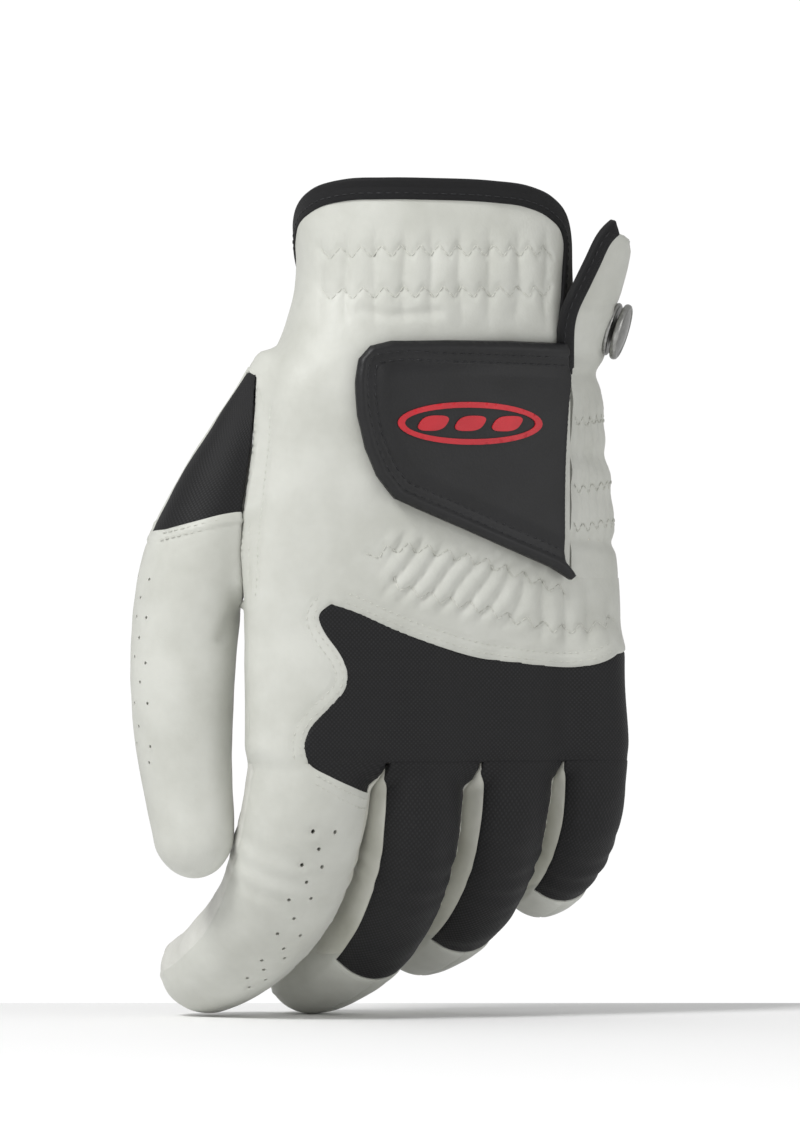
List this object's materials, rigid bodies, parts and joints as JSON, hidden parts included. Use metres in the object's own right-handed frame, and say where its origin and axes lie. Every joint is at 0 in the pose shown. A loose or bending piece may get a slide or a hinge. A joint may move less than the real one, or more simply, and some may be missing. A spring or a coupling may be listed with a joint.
{
  "type": "golf glove",
  "caption": "Left-hand golf glove of white leather with black mesh over the knuckles, jointed finger ends, a wrist tab that opens on its slit, and a ball marker on a snap.",
  "frame": {"origin": "the middle of the cuff's opening, where the hand goes in", "axes": "+Z out of the cuff along the forearm, so the fingers hang down towards -Z; the back of the hand faces -Y; +X towards the little finger"},
  "size_m": [0.1255, 0.0913, 0.2089],
  "materials": {
    "cabretta": "matte, fine grain",
    "wall_leather": "matte",
    "mesh": "knitted mesh, matte",
    "tab_leather": "synthetic leather, low sheen",
    "tab_cloth": "matte",
    "binding": "smooth, low sheen",
    "elastic": "matte",
    "hook": "hook fastener",
    "loop": "loop fastener",
    "red_print": "raised transfer",
    "steel": "brushed"
  },
  "bodies": {
    "hand": {"back_panel": "cabretta", "palm_panel": "cabretta", "knuckle_mesh": "mesh", "thumb_mesh_insert": "mesh", "thumb_base": "cabretta", "side_panel": "cabretta", "slit_binding": "binding", "cuff_binding": "binding", "wrist_elastic": "elastic", "back_elastic": "elastic", "side_elastic": "elastic", "loop_patch": "loop", "snap_base": "steel", "snap_washer": "steel"},
    "knuckles": {"index_back_root": "cabretta", "index_front_root": "cabretta", "middle_back_root": "mesh", "middle_front_root": "cabretta", "ring_back_root": "mesh", "ring_front_root": "cabretta", "little_back_root": "mesh", "little_front_root": "cabretta"},
    "index_end": {"index_back": "cabretta", "index_front": "cabretta", "index_wall_ulnar": "wall_leather"},
    "middle_end": {"middle_back": "mesh", "middle_front": "cabretta", "middle_wall_ulnar": "wall_leather", "middle_wall_radial": "wall_leather"},
    "ring_end": {"ring_back": "mesh", "ring_front": "cabretta", "ring_wall_ulnar": "wall_leather", "ring_wall_radial": "wall_leather"},
    "little_end": {"little_back": "mesh", "little_front": "cabretta", "little_wall_radial": "wall_leather"},
    "thumb_end": {"thumb_back": "cabretta", "thumb_front": "cabretta"},
    "tab": {"hook_patch": "hook", "tab_lining": "tab_cloth", "tab_face": "tab_leather", "tab_emblem": "red_print"},
    "marker": {"ball_marker": "steel"}
  },
  "joints": [
    {"name": "knuckle_bend", "type": "hinge", "parent": "hand", "child": "knuckles", "pos_m": [0, 0, -0.13], "axis": [0.8829, 0.4695, 0], "range_deg": [-15, 20]},
    {"name": "index_bend", "type": "hinge", "parent": "knuckles", "child": "index_end", "pos_m": [-0.03434, -0.00744, -0.16594], "axis": [0.8829, 0.4695, 0], "range_deg": [-25, 30]},
    {"name": "middle_bend", "type": "hinge", "parent": "knuckles", "child": "middle_end", "pos_m": [-0.00641, 0.00318, -0.16672], "axis": [0.8829, 0.4695, 0], "range_deg": [-25, 30]},
    {"name": "ring_bend", "type": "hinge", "parent": "knuckles", "child": "ring_end", "pos_m": [0.01558, 0.01559, -0.16426], "axis": [0.8829, 0.4695, 0], "range_deg": [-25, 30]},
    {"name": "little_bend", "type": "hinge", "parent": "knuckles", "child": "little_end", "pos_m": [0.03719, 0.02426, -0.15777], "axis": [0.8829, 0.4695, 0], "range_deg": [-25, 30]},
    {"name": "thumb_bend", "type": "hinge", "parent": "hand", "child": "thumb_end", "pos_m": [-0.06182, -0.01315, -0.13642], "axis": [0.8829, 0.4695, 0], "range_deg": [-20, 25]},
    {"name": "tab_open", "type": "hinge", "parent": "hand", "child": "tab", "pos_m": [0.0345, -0.0036, -0.066], "axis": [0, 0, 1], "range_deg": [0, 130]},
    {"name": "marker_off", "type": "slide", "parent": "hand", "child": "marker", "axis": [0.9404, -0.1719, -0.2933], "range_m": [0, 0.01]}
  ]
}
